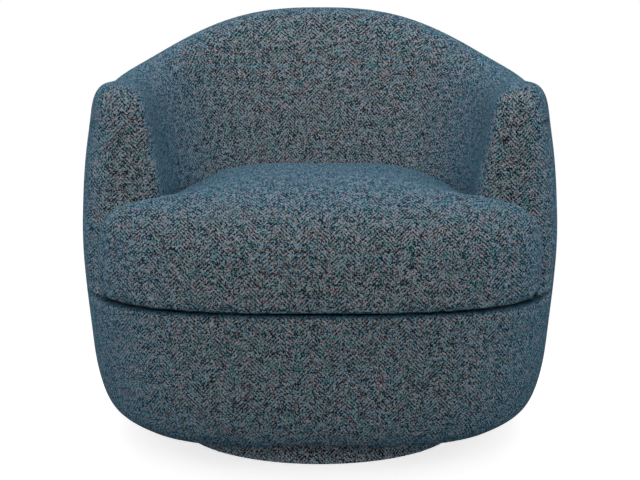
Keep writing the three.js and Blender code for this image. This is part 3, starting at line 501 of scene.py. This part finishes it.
# Tub cover: one padded skin over the lower body, the arms and the back, sewn from panels of one cloth and
# pulled over foam on a wooden frame.
# A loft goes over rings of points: the first ring starts as a circle, and each next one is extruded from it.
def loft(name, rings, closed=False):
    skin = bmesh.new()
    bmesh.ops.create_circle(skin, segments=len(rings[0]), cap_ends=False, radius=1)
    skin.verts.ensure_lookup_table()
    first = list(skin.verts)
    for vert, place in zip(first, rings[0]):
        vert.co = place
    edges = list(skin.edges)
    ring = first
    for places in rings[1:]:
        grown = bmesh.ops.extrude_edge_only(skin, edges=edges)["geom"]
        fresh = {part for part in grown if isinstance(part, bmesh.types.BMVert)}
        ring = [next(edge.other_vert(vert) for edge in vert.link_edges if edge.other_vert(vert) in fresh)
                for vert in ring]
        for vert, place in zip(ring, places):
            vert.co = place
        edges = [part for part in grown if isinstance(part, bmesh.types.BMEdge)
                 and part.verts[0] in fresh and part.verts[1] in fresh]
    first_edges = [edge for edge in skin.edges if edge.is_boundary and edge not in set(edges)]
    if closed:
        bmesh.ops.bridge_loops(skin, edges=first_edges + edges)
    else:
        bmesh.ops.edgeloop_fill(skin, edges=first_edges)
        bmesh.ops.edgeloop_fill(skin, edges=edges)
    bmesh.ops.recalc_face_normals(skin, faces=list(skin.faces))
    data = bpy.data.meshes.new(name)
    skin.to_mesh(data)
    skin.free()
    obj = bpy.data.objects.new(name, data)
    scene.collection.objects.link(obj)
    return obj


# A piece whose modifiers are taken into its mesh
def settled(obj):
    depsgraph = bpy.context.evaluated_depsgraph_get()
    data = bpy.data.meshes.new_from_object(obj.evaluated_get(depsgraph))
    obj.modifiers.clear()
    obj.data = data
    return obj


def joined(name, *parts):
    whole = bmesh.new()
    for part in parts:
        whole.from_mesh(part.data)
    data = bpy.data.meshes.new(name)
    whole.to_mesh(data)
    whole.free()
    for part in parts:
        bpy.data.objects.remove(part)
    obj = bpy.data.objects.new(name, data)
    scene.collection.objects.link(obj)
    return obj


def remeshed(obj, size):
    wrap = obj.modifiers.new("wrap", "REMESH")
    wrap.mode = "VOXEL"
    wrap.voxel_size = size
    wrap.adaptivity = 0
    return settled(obj)


def relaxed(obj, rounds):
    soft = bmesh.new()
    soft.from_mesh(obj.data)
    for _ in range(rounds):
        bmesh.ops.smooth_vert(soft, verts=list(soft.verts), factor=0.5, use_axis_x=True, use_axis_y=True,
                              use_axis_z=True)
    soft.to_mesh(obj.data)
    soft.free()
    obj.data.polygons.foreach_set("use_smooth", [True] * len(obj.data.polygons))
    return obj


# Heights, reaches and shares are those of the solids that the cover stands for, apart from its softer rim
hem, seam_height, arm_height, back_height, seat_height = 0.060, 0.296, 0.655, 0.761, 0.440
body_half, body_front, body_back = 0.422, 0.420, 0.418
front_round, arm_round, back_round = 3.2, 2.8, 2.3
well_half, well_back, well_top_half, well_top_back, well_round = 0.275, 0.235, 0.334, 0.335, 2.6
arm_front, nose, nose_draw, mouth, arm_dip = 0.250, 0.060, 0.62, 0.025, 0.006
# The body's profile: height as a share of the arm's over the hem, then the reach of side, front and back
profile = np.array([
    (0.000, 0.765, 0.857, 0.810), (0.005, 0.800, 0.871, 0.830), (0.012, 0.838, 0.900, 0.850),
    (0.025, 0.872, 0.910, 0.865), (0.057, 0.898, 0.929, 0.875), (0.103, 0.926, 0.940, 0.886),
    (0.183, 0.952, 0.954, 0.910), (0.348, 0.975, 0.968, 0.948), (0.501, 0.997, 0.985, 0.970),
    (0.588, 1.000, 1.000, 0.988), (0.691, 0.994, 1.000, 1.000), (0.787, 0.981, 1.000, 1.000),
    (0.887, 0.958, 1.000, 1.000), (1.000, 0.940, 1.000, 1.000), (1.180, 0.940, 1.000, 0.995),
])
# Finer rows of the same profile, eased so that the rows leave no ridges
easing_rounds = 60
fine = np.linspace(0, profile[-1, 0], 240)
eased = [np.interp(fine, profile[:, 0], profile[:, column]) for column in (1, 2, 3)]
for _ in range(easing_rounds):
    for row in eased:
        row[1:-1] = 0.5 * row[1:-1] + 0.25 * (row[:-2] + row[2:])


def body_at(z):
    share = (np.asarray(z, float) - hem) / (arm_height - hem)
    side, front, back = (np.interp(share, fine, row) for row in eased)
    upward = np.clip((np.asarray(z, float) - seam_height) / (seat_height - seam_height), 0, 1)
    roundness = front_round + (arm_round - front_round) * upward
    return body_half * side, body_front * front, body_back * back, roundness


def power(value, roundness):
    return np.sign(value) * np.abs(value) ** (2 / roundness)


def body_point(angle, z, inset=0.0):
    half, front, back, roundness = body_at(z)
    behind = math.sin(angle) >= 0
    roundness = back_round if behind else float(roundness)
    x = (half - inset) * power(math.cos(angle), roundness)
    y = ((back if behind else front) - inset) * power(math.sin(angle), roundness)
    return Vector((x, y, z))


def well_half_at(y, z):
    lean = np.clip((z - seat_height) / (back_height - seat_height), 0, 1)
    return well_half + (well_top_half - well_half) * lean - mouth * np.maximum(-y / arm_front, 0) ** 2


def wall_pair(station, z):
    kind, value = station[:2]
    if kind == "arm":
        half, front, _, roundness = body_at(z)
        outer = half * (1 - (abs(value) / front) ** roundness) ** (1 / roundness)
        return Vector((outer, value, z)), Vector((well_half_at(value, z), value, z))
    lean = min(max((z - seat_height) / (back_height - seat_height), 0), 1)
    reach = well_back + (well_top_back - well_back) * lean
    inner = Vector((well_half_at(0, z) * power(math.cos(value), well_round),
                    reach * power(math.sin(value), well_round), z))
    return body_point(value, z), inner


dome_half, dome_flatness, dome_softness = 0.349, 2.6, 1.25


def crest_over(x):
    share = np.minimum(np.abs(x) / dome_half, 1)
    return arm_height + (back_height - arm_height) * (1 - share ** dome_flatness) ** dome_softness


# The rim sinks where the arms meet the back, and is squarer along the arms
sink, sink_place, sink_length = 0.012, 0.02, 0.075
rim_roundness, arm_squareness, squaring_length = 2.2, 0.8, 0.1


def sunk(y):
    return sink * np.exp(-((y - sink_place) / sink_length) ** 2)


def rising(value, start, length):
    return min(max((value - start) / length, 0), 1)


def rim_round(y):
    return rim_roundness + arm_squareness * rising(-y, 0, squaring_length)


def crest_along(y):
    return arm_height - arm_dip * np.sin(math.pi * np.clip(-y / (arm_front - nose), 0, 1)) ** 2 - sunk(y)


# A wall's ring goes up its outside, over the rolled rim and down its inside
wall_foot, wall_rows, roll_rows, roll_share, roll_end = 0.2925, 16, 14, 0.68, math.radians(86)


def wall_ring(station):
    kind, value, lowered, drawn = station
    crest = float(crest_along(value))
    if kind == "back":
        outer, inner = wall_pair(station, arm_height)
        crest = float(crest_over((outer.x + inner.x) / 2) - sunk((outer.y + inner.y) / 2))
    outer, inner = wall_pair(station, crest)
    roll = roll_share * (outer - inner).length * (1 - drawn)
    roll_bottom = crest - lowered - roll
    roundness = rim_round(value if kind == "arm" else 0)
    levels = [(z, 1.0) for z in np.linspace(wall_foot, roll_bottom, wall_rows)]
    for turn in np.linspace(0, roll_end, roll_rows)[1:]:
        rise = math.sin(turn)
        levels.append((roll_bottom + roll * rise, (1 - rise ** roundness) ** (1 / roundness)))
    outers, inners = [], []
    for z, fullness in levels:
        outer, inner = wall_pair(station, z)
        centre = (outer + inner) / 2
        half = (outer - centre) * (1 - drawn) * fullness
        outers.append(centre + half)
        inners.append(centre - half)
    return outers + inners[::-1]


nose_stations, arm_stations, back_stations = 9, 12, 33
stations = []
for turn in np.linspace(math.pi / 2, 0, nose_stations):
    away = 1 - math.cos(turn)
    stations.append(("arm", -(arm_front - nose) - nose * math.sin(turn), nose * away, nose_draw * away))
stations += [("arm", -(arm_front - nose) * (1 - k / arm_stations), 0.0, 0.0) for k in range(1, arm_stations)]
stations += [("back", angle, 0.0, 0.0) for angle in np.linspace(0, math.pi / 2, back_stations)]
right_rings = [wall_ring(station) for station in stations]
left_rings = [[Vector((-p.x, p.y, p.z)) for p in ring] for ring in reversed(right_rings[:-1])]
walls = loft("walls", right_rings + left_rings)

# The lower body's rings go up its outside, over a small round at the seam and down the inside of its padding
base_columns, seam_round, seam_gap, padding = 144, 0.006, 0.008, 0.024
padding_levels, turned_in = (seam_height, 0.2, 0.115, 0.112), 0.1115
base_rings = []
base_levels = hem + fine[fine < (seam_height - seam_gap - hem) / (arm_height - hem)] * (arm_height - hem)
for k in range(base_columns):
    angle = 2 * math.pi * k / base_columns
    ring = [body_point(angle, z) for z in base_levels[::2]]
    for turn in np.linspace(0, math.pi / 2, 4):
        inset = seam_round * (1 - math.cos(turn))
        ring.append(body_point(angle, seam_height - seam_round + seam_round * math.sin(turn), inset))
    ring += [body_point(angle, z, padding) for z in padding_levels]
    lip = body_point(angle, hem)
    ring.append(Vector((lip.x, lip.y, turned_in)))
    base_rings.append(ring)
lower_body = loft("lower_body", base_rings, closed=True)

tub_cover = relaxed(remeshed(joined("tub_cover", walls, lower_body), size=0.0064), rounds=3)

# Lengths along the outside of the tub from its front, and along the inside of its back from its middle, for
# each direction from the axis
outside_level, inside_level = 0.36, 0.56
steps = np.linspace(-math.pi, math.pi, 1441)
outside = np.array([body_point(step - math.pi / 2, outside_level)[:2] for step in steps])
outside_run = np.concatenate([[0], np.cumsum(np.hypot(*np.diff(outside, axis=0).T))])
outside_run -= outside_run[len(steps) // 2]
turns = np.arctan2(outside[:, 0], -outside[:, 1])
turns[[0, -1]] = -math.pi, math.pi
half_steps = np.linspace(-math.pi / 2, math.pi / 2, 721)
inside = np.array([wall_pair(("back", step + math.pi / 2), inside_level)[1][:2] for step in half_steps])
inside_run = np.concatenate([[0], np.cumsum(np.hypot(*np.diff(inside, axis=0).T))])
inside_run -= inside_run[len(half_steps) // 2]
half_turns = np.arctan2(-inside[:, 0], inside[:, 1])
back_seam = math.radians(48)


def outside_turn(x, y):
    return np.arctan2(x, -y)


def front_panel(x, y, z):
    return np.interp(outside_turn(x, y), turns, outside_run), z


def back_panel(x, y, z):
    turn = outside_turn(x, y)
    run = np.interp(turn, turns, outside_run)
    return np.where(turn > 0, outside_run[-1] - run, outside_run[0] - run), z


def wall_place(x, y, z):
    """Half thickness, place across the wall from -1 inside to 1 outside, and the height of the rim"""
    half, front, back, roundness = body_at(z)
    lean = np.clip((z - seat_height) / (back_height - seat_height), 0, 1)
    reach = well_back + (well_top_back - well_back) * lean
    inner_half = well_half_at(np.minimum(y, 0), z)
    turn = np.arctan2(np.maximum(y, 0) / (reach + back) * (inner_half + half), np.abs(x))
    ahead = np.abs(np.minimum(y, 0)) / front
    outer = np.where(y < 0, half * (1 - ahead ** roundness) ** (1 / roundness), 0)
    size = np.maximum(np.hypot(x, y), 1e-6)
    cosine, sine = np.maximum(np.abs(x), 1e-6) / size, np.maximum(y, 0) / size
    far = ((cosine / half) ** back_round + (sine / back) ** back_round) ** (-1 / back_round)
    near = ((cosine / inner_half) ** well_round + (sine / reach) ** well_round) ** (-1 / well_round)
    thick = np.where(y < 0, outer - inner_half, far - near) / 2
    middle = np.where(y < 0, (outer + inner_half) / 2, (far + near) / 2)
    across = np.where(y < 0, np.abs(x) - middle, size - middle) / thick
    crest = np.where(y < 0, crest_along(y), crest_over(middle * cosine) - sunk(y))
    return thick, across, crest


def inside_panel(x, y, z):
    thick, across, crest = wall_place(x, y, z)
    run = -np.interp(np.arctan2(-x, np.maximum(y, 0)), half_turns, inside_run)
    u = np.where(y < 0, np.where(x >= 0, 1, -1) * (inside_run[-1] - y), run)
    roll = 2 * roll_share * thick
    bend = np.arctan2((z - crest + roll) / roll, -across)
    rolled = crest - roll + np.clip(bend, 0, None) * (thick + roll) / 2
    return u, np.where(z > crest - roll, rolled, z)


def nose_panel(x, y, z):
    return x, z


rim_drop, nose_side, nose_facing = 0.040, 0.190, 0.55


def tub_panel(middles, normals):
    x, y, z = middles.T
    thick, across, crest = wall_place(x, y, z)
    outside_face = (z < seam_height) | ((across > 0) & (z < crest - rim_drop) & (y > -nose_side))
    behind = np.abs(outside_turn(x, y)) > math.pi - back_seam
    facing = (y < -nose_side) & (normals[:, 1] < -nose_facing) & (z > seam_height)
    return np.where(outside_face, np.where(behind, 1, 0), np.where(facing, 3, 2))


lay_cloth(tub_cover, (front_panel, back_panel, inside_panel, nose_panel), tub_panel)

# Seams: round the body at the seat, under the rim on the outside, and down both sides of the outside back.
# The attribute holds each point's distance from the nearest one. In front the seat seam's distances are
# shrunk, so its dark groove spreads over the rim under the cushion: painted shade of the crease there.
outer_share, crease_shade_start, crease_shade_share, back_radius = 0.3, 0.26, 0.6, 0.4
x, y, z = surveyed(tub_cover)[0].T
_, across, crest = wall_place(x, y, z)
outside_face = (across > outer_share) | (z < seam_height)
at_rim = np.where(outside_face & (y > -nose_side), np.abs(z - crest + rim_drop), 1)
at_seat_seam_and_crease_shade = np.where(outside_face, np.abs(z - seam_height) * np.where(y < -crease_shade_start, crease_shade_share, 1), 1)
turn = np.abs(outside_turn(x, y))
at_back = np.where(outside_face & (z < crest - rim_drop), np.abs(turn - math.pi + back_seam) * back_radius, 1)
seam = tub_cover.data.attributes.new("seam", "FLOAT", "POINT")
seam.data.foreach_set("value", np.minimum(np.minimum(at_rim, at_seat_seam_and_crease_shade), at_back))
dress(tub_cover, seamed_shaded_tweed)
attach(tub_cover, "tub")
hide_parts("base_upholstery", "arm_upholstery_left", "arm_upholstery_right", "back_upholstery")


# Seat cushion: a T of foam in a down wrap, crowned and plump, with its ears in front of the arms. It lies on
# the deck pad between the arms. Its cover is of the same tweed, uncut over the crown and down the front.

# The ears are wider than the solid's, and the lower edge is fuller
ear_growth, ear_start, ear_run, ear_back, ear_step = 0.009, 0.2, 0.16, 0.25, 0.02
edge_growth, edge_top, edge_centre, edge_start = 0.011, 0.301, 0.335, 0.05
cushion = copied("cushion", "seat_cushion")
for vert in cushion.data.vertices:
    x, y, z = vert.co
    grown = math.copysign(ear_growth, x) * rising(abs(x), ear_start, ear_run) * rising(-y, ear_back, ear_step)
    vert.co.x += grown
    if z < edge_top and math.hypot(x, y + edge_centre) > edge_start:
        vert.co.xy += Vector((x, y + edge_centre)).normalized() * edge_growth
cushion = relaxed(remeshed(cushion, size=0.0072), rounds=2)
start_inset = 0.008
shrunk = bmesh.new()
shrunk.from_mesh(cushion.data)
shrunk.normal_update()
for vert in shrunk.verts:
    vert.co -= vert.normal * start_inset
shrunk.to_mesh(cushion.data)
shrunk.free()


# A point moves out by at least the least share of the cap and at most the cap, and slides by no more than a
# tenth of it.
least_share, usual_share, swell_frames = 0.75, 0.85, 20


def swollen(obj, pressure, cap):
    start = surveyed(obj)[0]
    normals = np.zeros(start.size)
    obj.data.vertices.foreach_get("normal", normals)
    normals = normals.reshape(-1, 3)
    moves = normals * cap * usual_share
    cloth = obj.modifiers.new("swell", "CLOTH").settings
    cloth.use_pressure = True
    cloth.uniform_pressure_force = pressure
    cloth.effector_weights.gravity = 0
    for frame_number in range(1, swell_frames + 1):
        scene.frame_set(frame_number)
    moves = surveyed(obj.evaluated_get(bpy.context.evaluated_depsgraph_get()))[0] - start
    obj.modifiers.clear()
    scene.frame_set(1)
    out = np.sum(moves * normals, axis=1, keepdims=True)
    slide = moves - out * normals
    slide *= np.minimum(1, cap / 10 / np.maximum(np.linalg.norm(slide, axis=1, keepdims=True), 1e-9))
    places = start + np.clip(out, least_share * cap, cap) * normals + slide
    obj.data.vertices.foreach_set("co", places.ravel())
    obj.data.update()
    return obj


cushion = relaxed(swollen(cushion, pressure=4.0, cap=0.0095), rounds=1)
# Its lower edge hangs a little past the deck pad, most where the skin faces down and out
hang, hang_top, hang_facing, hang_spread = 0.0042, 0.32, 0.55, 0.45
for vert in cushion.data.vertices:
    if vert.co.z < hang_top:
        vert.co.z -= hang * max(0, 1 - abs(vert.normal.z + hang_facing) / hang_spread)

# The cloth runs from the back of the cushion over its crown and down its front in one length
roll_depth, roll_height, roll_round, shoulder, cushion_half = 0.19, 0.12, 2.6, 0.385, 0.415
side_facing = 0.8
roll_curve = np.array([
    (roll_depth * (1 - power(math.cos(turn), roll_round)), roll_height * power(math.sin(turn), roll_round))
    for turn in np.linspace(0, math.pi / 2, 91)
])
roll_run = np.concatenate([[0], np.cumsum(np.hypot(*np.diff(roll_curve, axis=0).T))])
roll_angle = np.arctan2(roll_curve[:, 1] / roll_height, 1 - roll_curve[:, 0] / roll_depth)


def crown_panel(x, y, z):
    aside = np.clip(np.abs(x) / cushion_half, 0, 0.99)
    front = -body_front * (1 - aside ** front_round) ** (1 / front_round)
    depth = y - front
    angle = np.arctan2((z - shoulder) / roll_height, np.maximum(1 - depth / roll_depth, 0))
    over = shoulder + np.interp(angle, roll_angle, roll_run) + np.maximum(depth - roll_depth, 0)
    return x, np.where(z > shoulder, over, z)


def side_panel(x, y, z):
    return y * np.where(x >= 0, 1, -1), z


def cushion_panel(middles, normals):
    return np.where(np.abs(normals[:, 0]) > side_facing, 1, 0)


lay_cloth(cushion, (crown_panel, side_panel), cushion_panel)
fine_skin = cushion.modifiers.new("fine_skin", "SUBSURF")
fine_skin.levels = fine_skin.render_levels = 1
dress(cushion, tweed)
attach(cushion, "tub")
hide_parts("seat_cushion")
